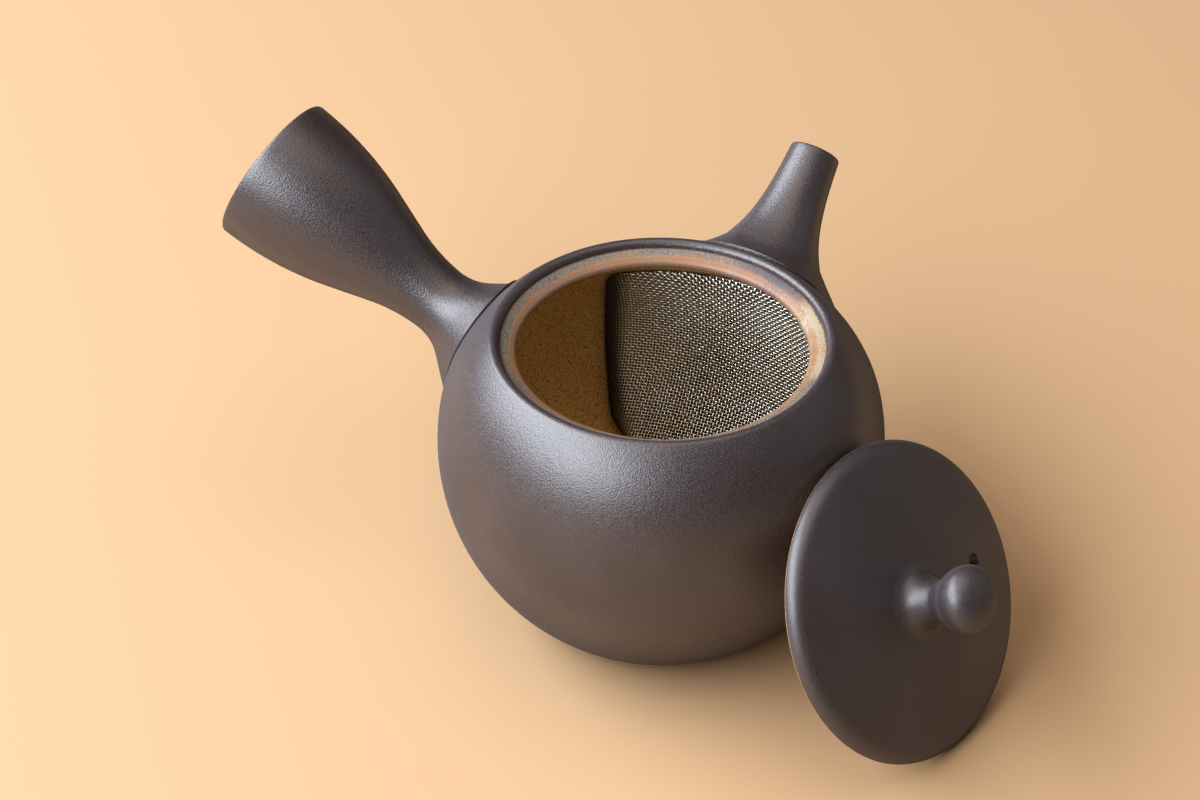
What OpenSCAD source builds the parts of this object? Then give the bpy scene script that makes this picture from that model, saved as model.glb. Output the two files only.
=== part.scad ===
// Side-handled teapot (yokode kyusu) with its lid taken off and leant on the pot.
// Frame: origin at the centre of the foot on the table, +X to the spout,
// +Y to the handle, +Z up, millimetres.

/* [Pot] */
// Widest diameter of the pot
body_d = 104; // [90:1:125]
// Height of the widest part above the table
belly_z = 43.5; // [38:0.5:50]
// Radius of the belly curve in section
belly_r = 54; // [52:0.5:66]
// Radius of the shoulder curve in section
shoulder_r = 34; // [30:0.5:40]
// Slope of the wall where the belly turns into the shoulder, degrees
shoulder_a = 10; // [5:0.5:18]
// Radius of the turn from belly to foot
foot_r = 14; // [8:0.5:18]
// Wall thickness of the pot
wall = 3.2; // [2.4:0.1:4.5]

/* [Mouth] */
// Diameter inside the lip, where the lid sits
seat_d = 74.4; // [64:0.2:80]
// Rounding radius of the lip
lip_r = 2; // [1.2:0.1:2.6]
// Depth of the lid seat below the top of the lip
seat_depth = 1.3; // [0.9:0.1:3]
// Width of the ledge that carries the lid
ledge_w = 4; // [3:0.1:5]
// Drop from the seat to the middle of the mouth edge
ledge_drop = 2.4; // [1.6:0.1:3.2]
// Rounding radius of the mouth edge
ledge_tip = 1.2; // [0.8:0.1:1.5]

/* [Spout] */
// Upward angle of the spout, degrees
spout_el = 38.7; // [30:0.1:46]
// Height where the spout axis crosses the pot axis
spout_z = 18; // [12:0.5:24]
// Length of the spout beyond the pot wall, along its axis
spout_len = 34; // [28:0.5:44]
// Outer diameter of the spout tip
spout_tip_d = 12.4; // [10:0.2:16]
// Half angle of the straight part of the spout, degrees
spout_taper = 5.2; // [3:0.1:8]
// Length of the straight part of the spout
spout_straight = 14; // [8:0.5:20]
// Radius of the curve between the straight part and the root cone
spout_flare_r = 24; // [18:0.5:34]
// Half angle of the root cone, degrees
spout_root_a = 27; // [18:0.5:30]
// Wall thickness of the spout
spout_wall = 2; // [1.6:0.1:2.6]
// Diameter of the pouring hole through the pot wall
pour_hole_d = 25; // [16:0.5:28]

/* [Handle] */
// Upward angle of the handle, degrees
handle_el = 25.4; // [18:0.2:32]
// Height where the handle axis crosses the pot axis
handle_z = 33; // [28:0.5:38]
// Length of the handle beyond the pot wall, along its axis
handle_len = 61.8; // [52:0.2:76]
// Distance of the handle waist from the pot wall
handle_waist_s = 10.4; // [9:0.1:14]
// Diameter of the handle at the waist
handle_waist_d = 16.4; // [14:0.2:20]
// Radius of the flare at the handle root
handle_root_r = 12.5; // [10:0.5:14]
// Diameter of the root where it is luted to the pot
handle_root_d = 30; // [27:0.5:33]
// Half angle of the handle cone, degrees
handle_taper = 19; // [14:0.5:22]
// Radius of the curve between waist and cone
handle_waist_r = 43; // [36:1:50]
// Length of the cone part
handle_cone = 10; // [6:0.5:14]
// Wall thickness of the handle
handle_wall = 3; // [2.4:0.1:3.6]

/* [Strainer] */
// Diameter of the round strainer panel, seen along the spout side
mesh_d = 67; // [60:0.5:70]
// Height of the panel centre above the table
mesh_z = 40.5; // [38:0.5:44]
// Height of the straight top edge
mesh_top_z = 60; // [54:0.5:62]
// Gap between the panel and the pot wall
mesh_gap = 3; // [2:0.1:4]
// Thickness of the woven sheet
mesh_t = 0.6; // [0.4:0.1:1]
// Pitch of the openings
mesh_pitch = 3.6; // [3.2:0.1:6]
// Width of one opening
mesh_hole = 2; // [1.2:0.1:2.4]

/* [Lid] */
// Gap between the lid edge and the lip
lid_fit = 1; // [0.4:0.1:1.4]
// Thickness of the lid edge
lid_edge_t = 2.4; // [1.8:0.1:3.2]
// Rise of the dome above the lid edge
lid_rise = 5.4; // [3:0.2:8]
// Wall thickness of the dome
lid_wall = 3; // [2.4:0.1:4]
// Height of the locating ring under the lid
ring_h = 1.8; // [1.2:0.1:3]
// Thickness of the locating ring
ring_t = 2.4; // [1.8:0.1:4]
// Gap between the locating ring and the mouth
ring_fit = 1.7; // [0.4:0.1:2.5]
// Diameter of the vent hole
vent_d = 3.4; // [2:0.1:4.5]
// Distance of the vent hole from the lid centre
vent_s = 22; // [16:0.5:26]

/* [Knob] */
// Diameter of the knob
knob_d = 15.2; // [13:0.2:18]
// Height of the knob's widest part above the dome
knob_z = 12.3; // [10.5:0.1:15]
// Diameter of the knob's neck
neck_d = 9; // [7:0.2:10.5]
// Radius of the fillet under the neck
neck_fillet = 2.8; // [2:0.1:4]

/* [Leaning lid] */
// Direction in which the lid leans, seen from above, degrees
lean_az = -99.5; // [-120:0.5:-60]
// Upward angle of the lid axis while it leans, degrees
lean_el = 30.5; // [24:0.5:38]
// Turn of the lid about its own axis, degrees
lid_turn = -5; // [-180:1:180]
// Gap kept between the leaning lid and the pot
lean_gap = 0.35; // [0.3:0.05:1]
// Gap kept between the leaning lid and the table
table_gap = 0.2; // [0.1:0.05:0.5]

/* [Hidden] */
$fn = 96;

body_r = body_d / 2;
seat_r = seat_d / 2;
// Angle between the points of a curve in a section, degrees
arc_step = 3;
// Longest size used to cut past the object
far = 400;
// How far a spout or handle root reaches into the pot before it is trimmed to the wall
root_in = 22;
// Cuts run past a face by this much
past = 1;

// Section of the pot: foot, belly, shoulder and lip curves that run into each other
belly_c = [body_r - belly_r, belly_z];
foot_c = [belly_c[0] + sqrt(pow(belly_r - foot_r, 2) - pow(belly_z - foot_r, 2)), foot_r];
foot_a = atan2(foot_c[1] - belly_c[1], foot_c[0] - belly_c[0]);
shoulder_c = belly_c + (belly_r - shoulder_r) * [cos(shoulder_a), sin(shoulder_a)];
lip_x = seat_r + lip_r;
lip_c = [lip_x, shoulder_c[1] + sqrt(pow(shoulder_r - lip_r, 2) - pow(lip_x - shoulder_c[0], 2))];
lip_a = atan2(lip_c[1] - shoulder_c[1], lip_c[0] - shoulder_c[0]);
turn_z = belly_z + belly_r * sin(shoulder_a);
rim_z = lip_c[1] + lip_r;
seat_z = rim_z - seat_depth;
// The lip curve runs on down to the seat
lip_end = 180 - asin(max(0, lip_r - seat_depth) / lip_r);
seat_x = lip_c[0] + lip_r * cos(lip_end);
mouth_r = seat_r - ledge_w;
// Share of the ledge that is the flat seat, and how much it falls inwards
seat_share = 0.5;
seat_fall = 0.4;
// Angle at which the slope of the ledge runs into the rounded mouth edge
tip_a = 130;
ledge_z = seat_z - ledge_drop;
ledge_under = ledge_z - ledge_tip;

// Distance along a line that climbs at el from [0, z0] to a curve of radius r about c
function reach(c, r, z0, el) =
    let (b = -c[0] * cos(el) + (z0 - c[1]) * sin(el), k = c[0] * c[0] + pow(z0 - c[1], 2) - r * r)
    -b + sqrt(b * b - k);
// Distance along that line to the outside of the pot
function wall_s(z0, el) =
    let (s = reach(belly_c, belly_r, z0, el))
    z0 + s * sin(el) < turn_z ? s : reach(shoulder_c, shoulder_r, z0, el);
// Outside radius of the pot at height z
function pot_r(z) =
    z < turn_z ? belly_c[0] + sqrt(max(0, belly_r * belly_r - pow(z - belly_z, 2)))
    : shoulder_c[0] + sqrt(max(0, shoulder_r * shoulder_r - pow(z - shoulder_c[1], 2)));
function polar(r, a) = r * [cos(a), sin(a)];

// Spout stations along its own axis
spout_s0 = wall_s(spout_z, spout_el);
spout_tip_s = spout_s0 + spout_len;
spout_tip_r = spout_tip_d / 2;
spout_s1 = spout_tip_s - spout_straight;
spout_r1 = spout_tip_r + spout_straight * tan(spout_taper);

// Handle stations along its own axis
handle_s0 = wall_s(handle_z, handle_el);
handle_s1 = handle_s0 + handle_waist_s;
handle_end_s = handle_s0 + handle_len;
handle_waist = handle_waist_d / 2;
cone_s0 = handle_s1 + handle_waist_r * sin(handle_taper);
cone_r0 = handle_waist + handle_waist_r * (1 - cos(handle_taper));
cone_s1 = cone_s0 + handle_cone;
cone_r1 = cone_r0 + handle_cone * tan(handle_taper);
// The end curve flattens out at the end of the handle
end_r = (handle_end_s - cone_s1) / sin(handle_taper);
end_c = [cone_r1 - end_r * cos(handle_taper), handle_end_s];
handle_end_r = end_c[0] + end_r;

// Strainer: a sheet domed to follow the wall
mesh_r = body_r - wall - mesh_gap;

// Lid, about its own axis, with the middle of its edge at height 0.
// The edge is rounded by a share of its thickness
lid_r = seat_x - lid_fit;
edge_share = 0.36;
edge_r = lid_edge_t * edge_share;
edge_h = lid_edge_t / 2;
dome_x = lid_r - edge_r;
dome_r = (dome_x * dome_x + lid_rise * lid_rise) / (2 * lid_rise);
dome_c = edge_h + lid_rise - dome_r;
ring_r = mouth_r - ring_fit;
apex = edge_h + lid_rise;
// Shares of the neck fillet: how high the neck starts, and its straight part
neck_sink = 0.86;
neck_flat = 0.1;

// Where the leaning lid stands: its low edge over the table, its back edge or ring by the pot
function lean_out(x, h) = h * cos(lean_el) - x * sin(lean_el);
function lean_up(x, h) = h * sin(lean_el) + x * cos(lean_el);
lean_z = table_gap - lean_up(-dome_x, edge_r - edge_h) + edge_r;
function lean_d(x, h) = pot_r(lean_z + lean_up(x, h)) + lean_gap - lean_out(x, h);
lean_x = max(lean_d(lid_r, -edge_h), lean_d(ring_r, -edge_h - ring_h));

// Points of a curve about c from angle a0 up to, but not at, angle a1
function arc(c, r, a0, a1) =
    let (n = ceil(abs(a1 - a0) / arc_step))
    [for (i = [0 : n - 1]) c + polar(r, a0 + (a1 - a0) * i / n)];
// Foot, belly and shoulder of the pot from the foot up to angle a1, drawn in by t
function pot_curve(t, a1) = concat(
    arc(foot_c, foot_r - t, -90, foot_a),
    arc(belly_c, belly_r - t, foot_a, shoulder_a),
    arc(shoulder_c, shoulder_r - t, shoulder_a, a1)
);
function flip(v) = [for (i = [len(v) - 1 : -1 : 0]) v[i]];
// Angle at which the shoulder, drawn in by t, reaches height z
function shoulder_at(t, z) = asin((z - shoulder_c[1]) / (shoulder_r - t));
outside = concat(pot_curve(0, lip_a), arc(lip_c, lip_r, lip_a, 90));
inside = concat(
    pot_curve(wall, shoulder_at(wall, ledge_under)),
    [[shoulder_c[0] + (shoulder_r - wall) * cos(shoulder_at(wall, ledge_under)), ledge_under]]
);

// Filled shape of the pot, level with its rim
module pot_filled() {
    rotate_extrude() polygon(concat([[0, 0]], outside, [[lip_c[0], rim_z], [0, rim_z]]));
}

// Space inside the pot, up to the ledge
module cavity() {
    rotate_extrude() polygon(concat([[0, wall]], inside, [[0, ledge_under]]));
}

module along(el) {
    rotate([0, 90 - el, 0]) children();
}

module pot_body() {
    color([0.27, 0.25, 0.26]) difference() {
        rotate_extrude() polygon(concat(
            [[0, 0]],
            outside,
            arc(lip_c, lip_r, 90, lip_end),
            seat_depth > lip_r ? [[seat_x, lip_c[1]]] : [],
            [[seat_x, seat_z], [seat_r - ledge_w * seat_share, seat_z - seat_fall]],
            arc([mouth_r + ledge_tip, ledge_z], ledge_tip, tip_a, 270),
            [[mouth_r + ledge_tip, ledge_under]],
            flip(inside),
            [[0, wall]]
        ));
        translate([0, 0, spout_z]) along(spout_el)
            translate([0, 0, spout_s0 - root_in]) cylinder(d = pour_hole_d, h = 2 * root_in);
    }
}

// Outside of the spout about its axis, drawn in by t
module spout_section(t) {
    r1 = spout_r1 - t;
    rf = spout_flare_r + t;
    fc = [r1 + rf * cos(spout_taper), spout_s1 + rf * sin(spout_taper)];
    cone = fc - polar(rf, spout_root_a);
    difference() {
        polygon([
            [0, 0],
            [cone[0] + cone[1] * tan(spout_root_a), 0],
            cone,
            [r1, spout_s1],
            [spout_tip_r - t, spout_tip_s],
            [0, spout_tip_s]
        ]);
        intersection() {
            translate(fc) circle(rf);
            translate([0, cone[1]]) square([far, spout_s1 - cone[1]]);
        }
    }
}

module spout() {
    lip = spout_wall / 2;
    color([0.27, 0.25, 0.26]) difference() {
        translate([0, 0, spout_z]) along(spout_el) rotate_extrude() difference() {
            union() {
                intersection() {
                    spout_section(0);
                    translate([0, spout_s0 - root_in]) square([far, spout_len + root_in - lip]);
                }
                translate([spout_tip_r - lip, spout_tip_s - lip]) circle(lip);
            }
            intersection() {
                spout_section(spout_wall);
                square([pour_hole_d / 2, far]);
            }
        }
        pot_filled();
    }
}

// Outside of the handle about its axis, drawn in by t
module handle_section(t) {
    root = handle_root_d / 2;
    rr = handle_root_r + t;
    rw = handle_waist_r + t;
    w = handle_waist - t;
    difference() {
        polygon([
            [0, 0],
            [root - t, 0],
            [root - t, handle_s1],
            [w, handle_s1],
            [cone_r0 - t * cos(handle_taper), cone_s0 + t * sin(handle_taper)],
            [cone_r1 - t * cos(handle_taper), cone_s1 + t * sin(handle_taper)],
            [0, cone_s1 + t * sin(handle_taper)]
        ]);
        translate([w + rr, handle_s1]) circle(rr);
        intersection() {
            translate([w + rw, handle_s1]) circle(rw);
            translate([0, handle_s1]) square([far, rw * sin(handle_taper)]);
        }
    }
    intersection() {
        translate(end_c) circle(end_r - t);
        translate([0, cone_s1 + t * sin(handle_taper)])
            square([far, handle_end_s - cone_s1 - t * sin(handle_taper)]);
    }
}

module handle() {
    lip = handle_wall / 2;
    color([0.27, 0.25, 0.26]) difference() {
        translate([0, 0, handle_z]) rotate([0, 0, 90]) along(handle_el) rotate_extrude() difference() {
            union() {
                intersection() {
                    handle_section(0);
                    translate([0, handle_s0 - root_in]) square([far, handle_len + root_in - lip]);
                }
                translate([handle_end_r - lip, handle_end_s - lip]) circle(lip);
            }
            intersection() {
                handle_section(handle_wall);
                translate([0, handle_s1]) square([far, far]);
            }
        }
        pot_filled();
    }
}

// Outline of the strainer looking along the spout side, drawn in by t
module mesh_outline(t) {
    intersection() {
        translate([0, 0, mesh_z]) rotate([0, 90, 0]) cylinder(r = mesh_d / 2 - t, h = far);
        translate([0, -far / 2, 0]) cube([far, far, mesh_top_z - t]);
    }
}

module strainer() {
    step_a = mesh_pitch / mesh_r * 180 / PI;
    rows = floor(mesh_d / mesh_pitch / 2);
    keep = mesh_d / 2 - mesh_hole;
    color([0.75, 0.74, 0.72]) difference() {
        intersection() {
            cavity();
            mesh_outline(0);
        }
        translate([0, 0, belly_z]) sphere(mesh_r - mesh_t);
        difference() {
            mesh_outline(mesh_t);
            translate([0, 0, belly_z]) sphere(mesh_r);
        }
        for (i = [-rows : rows], j = [-rows : rows]) {
            a = i * step_a;
            e = (j + 0.5) * step_a;
            y = mesh_r * cos(e) * sin(a);
            z = belly_z + mesh_r * sin(e);
            if (norm([y, z - mesh_z]) < keep && z < mesh_top_z - mesh_hole)
                translate([0, 0, belly_z]) rotate([0, 0, a]) along(e)
                    translate([0, 0, mesh_r - mesh_t - past])
                        cylinder(d = mesh_hole, h = mesh_t + 2 * past, $fn = 24);
        }
    }
}

// Puts the lid, drawn about its own axis, where it leans on the pot
module leaning() {
    rotate([0, 0, lean_az]) translate([lean_x, 0, lean_z])
        along(lean_el) rotate([0, 0, lid_turn]) children();
}

// Section of the lid dome out to x and down to z, drawn in by t
module dome_section(x, z, t) {
    intersection() {
        translate([0, dome_c]) circle(dome_r - t);
        translate([0, z]) square([x, far]);
    }
}

module lid() {
    color([0.27, 0.25, 0.26]) leaning() difference() {
        rotate_extrude() difference() {
            union() {
                dome_section(dome_x, 0, 0);
                translate([0, -edge_h]) square([dome_x, lid_edge_t]);
                translate([dome_x, edge_h - edge_r]) circle(edge_r);
                translate([dome_x, edge_r - edge_h]) circle(edge_r);
                translate([0, edge_r - edge_h]) square([lid_r, lid_edge_t - 2 * edge_r]);
                translate([0, -edge_h - ring_h]) square([ring_r, ring_h]);
            }
            // Hollow under the dome, inside the locating ring
            dome_section(ring_r - ring_t, -edge_h - ring_h - past, lid_wall);
        }
        translate([0, vent_s, 0]) cylinder(d = vent_d, h = 2 * (apex + ring_h), center = true);
    }
}

module knob() {
    kr = knob_d / 2;
    kz = apex + knob_z;
    nr = neck_d / 2;
    nz = apex + neck_fillet * neck_sink;
    // Below its widest part the knob narrows to the neck on a larger curve
    low_z = nz + neck_fillet * neck_flat;
    low_r = (pow(kz - low_z, 2) + pow(kr - nr, 2)) / (2 * (kr - nr));
    low_a = -asin((kz - low_z) / low_r);
    foot_x = nr + neck_fillet;
    color([0.27, 0.25, 0.26]) leaning() difference() {
        rotate_extrude() polygon(concat(
            [[0, apex - neck_fillet], [foot_x, apex - neck_fillet]],
            arc([foot_x, nz], neck_fillet, 270, 180),
            [[nr, nz]],
            arc([kr - low_r, kz], low_r, low_a, 0),
            arc([0, kz], kr, 0, 90),
            [[0, kz + kr]]
        ));
        translate([0, 0, dome_c]) sphere(dome_r);
    }
}

pot_body();
spout();
handle();
strainer();
lid();
knob();
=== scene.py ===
"""Side-handled teapot of unglazed stoneware with a woven steel strainer and its lid leant on the pot.

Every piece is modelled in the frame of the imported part: origin at the centre of the foot, +X to the
spout, +Y to the handle, +Z up, in metres.
"""

import math

import bpy
import numpy as np
from mathutils import Euler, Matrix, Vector


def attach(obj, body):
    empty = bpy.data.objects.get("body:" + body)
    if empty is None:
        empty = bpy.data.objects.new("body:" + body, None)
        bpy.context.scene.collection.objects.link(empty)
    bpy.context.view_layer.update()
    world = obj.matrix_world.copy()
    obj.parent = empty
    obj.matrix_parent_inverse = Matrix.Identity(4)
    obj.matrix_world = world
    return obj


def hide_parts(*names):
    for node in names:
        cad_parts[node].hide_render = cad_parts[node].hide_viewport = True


bl_info = {
    "name": "Side-handled teapot",
    "version": (1, 0, 0),
    "blender": (4, 5, 0),
    "location": "View3D > Sidebar > Teapot",
    "description": "Models a side-handled stoneware teapot, its strainer and its lid",
    "category": "Add Mesh",
}

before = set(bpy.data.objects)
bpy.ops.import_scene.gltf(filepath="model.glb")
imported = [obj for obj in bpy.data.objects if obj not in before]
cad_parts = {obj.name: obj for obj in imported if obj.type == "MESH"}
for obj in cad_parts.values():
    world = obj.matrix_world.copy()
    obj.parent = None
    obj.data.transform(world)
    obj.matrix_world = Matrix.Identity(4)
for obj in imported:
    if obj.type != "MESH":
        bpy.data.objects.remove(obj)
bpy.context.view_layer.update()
MM = 0.001
# Points round a turned piece
STEPS = 160
# Length of a drill, enough for any wall
DRILL = 40 * MM
# How a luted root's edge turns under, ring by ring: sinking and narrowing as shares of its groove
UNDERTURN = ((0.2, 0.1), (0.35, 0.35), (0.25, 0.5), (2.5, 0.3))


def length(name, description, value):
    """A size of the teapot, given in millimetres."""
    return bpy.props.FloatProperty(
        name=name, description=description, default=value * MM, unit="LENGTH", precision=5
    )


def angle(name, description, value):
    """An angle of the teapot, given in degrees."""
    return bpy.props.FloatProperty(
        name=name, description=description, default=math.radians(value), unit="ROTATION"
    )


def colour(name, description, value):
    """A colour as an sRGB hex value."""
    return bpy.props.StringProperty(name=name, description=description, default=value)


class PotSizes(bpy.types.PropertyGroup):
    """Sizes of the thrown pot."""

    body_r: length("Belly radius", "Widest radius of the pot", 52)
    belly_z: length("Belly height", "Height of the widest part above the table", 43.5)
    belly_r: length("Belly curve", "Radius of the belly curve in section", 54)
    shoulder_r: length("Shoulder curve", "Radius of the shoulder curve in section", 34)
    shoulder_a: angle("Shoulder start", "Slope of the wall where the belly turns into the shoulder", 10)
    foot_r: length("Foot curve", "Radius of the turn from belly to foot", 14)
    wall: length("Wall", "Thickness of the pot wall", 3.2)
    seat_r: length("Lip inside", "Radius inside the lip", 37.2)
    lip_r: length("Lip rounding", "Rounding radius of the lip", 1.5)
    seat_depth: length("Seat depth", "Depth of the lid seat below the top of the lip", 1.6)
    ledge_w: length("Ledge width", "Width of the ledge that carries the lid", 3.8)
    ledge_drop: length("Ledge drop", "Drop from the seat to the mouth edge", 2.4)
    ledge_tip: length("Mouth edge", "Rounding radius of the mouth edge", 1.2)


class SpoutSizes(bpy.types.PropertyGroup):
    """Sizes of the spout."""

    rise: angle("Rise", "Upward angle of the spout", 38.7)
    axis_z: length("Axis height", "Height where the spout axis crosses the pot axis", 18)
    wall_s: length("Root distance", "Distance along the axis to the pot wall", 63.9)
    tip_s: length("Tip distance", "Distance along the axis to the tip", 98.3)
    tip_r: length("Tip radius", "Outer radius of the tip", 6.2)
    tip_round: length("Tip rounding", "Rounding radius of the tip's edges", 0.4)
    wall: length("Wall", "Thickness of the spout wall", 2)
    hole_r: length("Pouring hole", "Radius of the pouring hole through the pot wall", 7.5)
    hole_drop: length("Hole drop", "How far the pouring hole lies below the spout's axis", 7.0)
    groove: length("Root groove", "Height of the root's rounded edge above the pot", 0.7)


class HandleSizes(bpy.types.PropertyGroup):
    """Sizes of the side handle."""

    rise: angle("Rise", "Upward angle of the handle", 25.4)
    axis_z: length("Axis height", "Height where the handle axis crosses the pot axis", 33)
    waist_s: length("Waist distance", "Distance along the axis to the waist", 66)
    waist_r: length("Waist radius", "Radius of the handle at the waist", 8.2)
    root_curve: length("Root curve", "Radius of the hollow curve above the root", 10.5)
    root_turn: angle("Root turn", "Slope of the flared root", 40.5)
    root_s: length("Root distance", "Distance along the axis to the middle of the root", 51.9)
    root_r: length("Root radius", "Half height of the root on the pot", 16.9)
    waist_curve: length("Waist curve", "Radius of the curve between waist and cone", 43)
    taper: angle("Taper", "Half angle of the cone", 19)
    cone: length("Cone", "Length of the cone part", 10)
    end_s: length("End distance", "Distance along the axis to the end", 118.2)
    end_round: length("End rounding", "Rounding radius of the end's edges", 0.7)
    wall: length("Wall", "Thickness of the handle wall", 3)
    groove: length("Root groove", "Height of the root's rounded edge above the pot", 0.5)


class StrainerSizes(bpy.types.PropertyGroup):
    """Sizes of the woven strainer."""

    dome_r: length("Dome radius", "Radius of the domed sheet", 45.5)
    edge_r: length("Panel radius", "Radius of the panel seen along the spout side", 35)
    side_a: angle("Panel side", "Angle round the pot from the panel's middle to its side edges", 44)
    middle_z: length("Panel height", "Height of the panel's middle above the table", 40.5)
    top_z: length("Top edge", "Height of the straight top edge", 58.9)
    top_bend: length("Top bend", "Height over which the sheet bends out to the wall", 8)
    top_gap: length("Top gap", "How far the sheet bends out along its top", 3.1)
    pitch: length("Wire pitch", "Distance from wire to wire", 0.78)
    wire_r: length("Wire radius", "Radius of one wire", 0.165)
    fold_r: length("Fold radius", "Radius of the edge turned back to the wall", 1.2)
    skirt: length("Skirt", "Length of sheet turned back to the wall", 3.4)


class LidSizes(bpy.types.PropertyGroup):
    """Sizes of the lid and its knob."""

    edge_r: length("Lid radius", "Outer radius of the lid", 36.33)
    edge_t: length("Edge", "Thickness of the lid edge", 2.4)
    rim_w: length("Rim width", "Width of the rounding of the lid's upper edge", 3.6)
    rim_h: length("Rim height", "Height of the rounding of the lid's upper edge", 3.3)
    under_r: length("Under edge", "Rounding radius of the lid's lower edge", 0.8)
    rise: length("Rise", "Rise of the dome above the rounded edge", 3.4)
    wall: length("Wall", "Thickness of the dome", 3)
    ring_r: length("Ring radius", "Outer radius of the locating ring", 31.5)
    ring_h: length("Ring height", "Height of the locating ring", 1.8)
    ring_t: length("Ring thickness", "Thickness of the locating ring", 2.4)
    vent_r: length("Vent", "Radius of the vent hole", 1.95)
    vent_s: length("Vent distance", "Distance of the vent hole from the middle", 21.3)
    vent_turn: angle("Vent turn", "Turn of the vent hole about the lid's axis", -6)
    knob_r: length("Knob radius", "Radius of the knob", 7.8)
    knob_z: length("Knob height", "Height of the knob's widest part above the lid edge's middle", 20.4)
    knob_top: length("Knob top", "Height of the knob above its widest part", 5.2)
    knob_low: length("Knob depth", "Depth of the knob's ball below its widest part", 7.4)
    neck_r: length("Neck radius", "Radius of the knob's neck", 4.5)
    neck_z: length("Neck height", "Height of the neck above the lid edge's middle", 11.8)
    foot_r: length("Knob foot", "Radius at which the knob runs out into the dome", 13.0)
    lean_az: angle("Leaning direction", "Direction in which the lid faces", -99.5)
    lean_el: angle("Leaning angle", "Upward angle of the lid's axis", 30.5)
    lean_out: length("Leaning distance", "Distance of the lid's middle from the pot axis", 68.977)
    lean_z: length("Leaning height", "Height of the lid's middle above the table", 31.79)


class Colours(bpy.types.PropertyGroup):
    """Colours of clay, steel and table."""

    clay_dark: colour("Clay, dark", "Darker patches of the burnished clay", "#2F292B")
    clay_light: colour("Clay, light", "Lighter patches of the burnished clay", "#4A4145")
    inside_dark: colour("Inside, dark", "Dark specks of the bare clay inside", "#867C50")
    inside_light: colour("Inside, light", "Main colour of the bare clay inside", "#CEBC86")
    inside_rust: colour("Inside, rust", "Rusty specks of the bare clay inside", "#E8A868")
    # Painted shade: the wall behind the strainer is drawn darker, as if in its shadow
    inside_painted_shade: colour("Inside, stained", "Tea stain behind the strainer", "#3A2F20")
    ledge_tan: colour("Ledge, tan", "Bare clay of the lid ledge", "#987050")
    ledge_ash: colour("Ledge, ash", "Grey ash on the lid ledge", "#5C5A5D")
    # Partly a painted highlight where it whitens the side away from the handle
    ledge_white_ash_and_highlight: colour("Ledge, white ash", "White ash on the side away from the handle", "#A2957F")
    wire: colour("Wire", "Stainless steel wire", "#F0EEE6")
    # Painted shade between the crowns of the weave
    wire_painted_shade: colour("Wire, stained", "Tea stain between the crowns of the weave", "#726D5E")
    # Painted shade in the folded edge of the weave
    wire_edge_painted_shade: colour("Wire, edge", "Tea settled in the folded edge of the weave", "#1A2020")
    table: colour("Table", "Plain pale table top", "#BF9E7A")


def linear(code):
    """Scene-linear colour of an sRGB hex value."""
    parts = [int(code[i : i + 2], 16) / 255 for i in (1, 3, 5)]
    return [p / 12.92 if p <= 0.04045 else ((p + 0.055) / 1.055) ** 2.4 for p in parts] + [1.0]


def fill(tree, node, inputs):
    """Fills a node's inputs with values or other nodes' outputs."""
    for socket, value in inputs.items():
        if isinstance(value, bpy.types.NodeSocket):
            tree.links.new(value, node.inputs[socket])
        else:
            node.inputs[socket].default_value = value


def add(tree, kind, inputs, **settings):
    """Adds a shader node, sets its fields and fills its inputs."""
    made = tree.nodes.new(kind)
    for field, value in settings.items():
        setattr(made, field, value)
    fill(tree, made, inputs)
    return made


def noise(tree, coords, size, detail):
    """Noise with grains of about the given size."""
    fields = {"Vector": coords, "Scale": 1 / size, "Detail": detail}
    return add(tree, "ShaderNodeTexNoise", fields).outputs["Fac"]


def ranged(tree, value, start, end, low=0.0, high=1.0):
    """A number that runs from low to high while the value runs from start to end."""
    fields = {"Value": value, "From Min": start, "From Max": end, "To Min": low, "To Max": high}
    return add(tree, "ShaderNodeMapRange", fields).outputs["Result"]


def worked(tree, operation, *values, **settings):
    """The result of one operation on numbers."""
    made = add(tree, "ShaderNodeMath", dict(enumerate(values)), operation=operation, **settings)
    return made.outputs["Value"]


def vector(tree, operation, *values):
    """The results of one operation on vectors."""
    return add(tree, "ShaderNodeVectorMath", dict(enumerate(values)), operation=operation).outputs


def mixed(tree, share, first, second):
    """Two colours mixed by a share of the second."""
    return add(tree, "ShaderNodeMix", {0: share, 6: first, 7: second}, data_type="RGBA").outputs[2]


def ramp(tree, value, *stops):
    """Colours at their places along a value, blended between them."""
    made = add(tree, "ShaderNodeValToRGB", {"Fac": value})
    elements = made.color_ramp.elements
    for element, (at, code) in zip(elements, (stops[0], stops[-1])):
        element.position, element.color = at, linear(code)
    for at, code in stops[1:-1]:
        elements.new(at).color = linear(code)
    return made.outputs["Color"]


def bumped(tree, height, strength, depth):
    """Small relief of the given depth."""
    fields = {"Height": height, "Strength": strength, "Distance": depth}
    return add(tree, "ShaderNodeBump", fields).outputs["Normal"]


def new_material(name):
    """A new material with its nodes, surface shader and object coordinates, or the one in place."""
    material = bpy.data.materials.get(name)
    if material:
        return material, None, None, None
    material = bpy.data.materials.new(name)
    material.use_nodes = True
    tree = material.node_tree
    tree.nodes.clear()
    shader = add(tree, "ShaderNodeBsdfPrincipled", {})
    add(tree, "ShaderNodeOutputMaterial", {"Surface": shader.outputs["BSDF"]})
    coords = add(tree, "ShaderNodeTexCoord", {}).outputs["Object"]
    return material, tree, shader, coords


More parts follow.
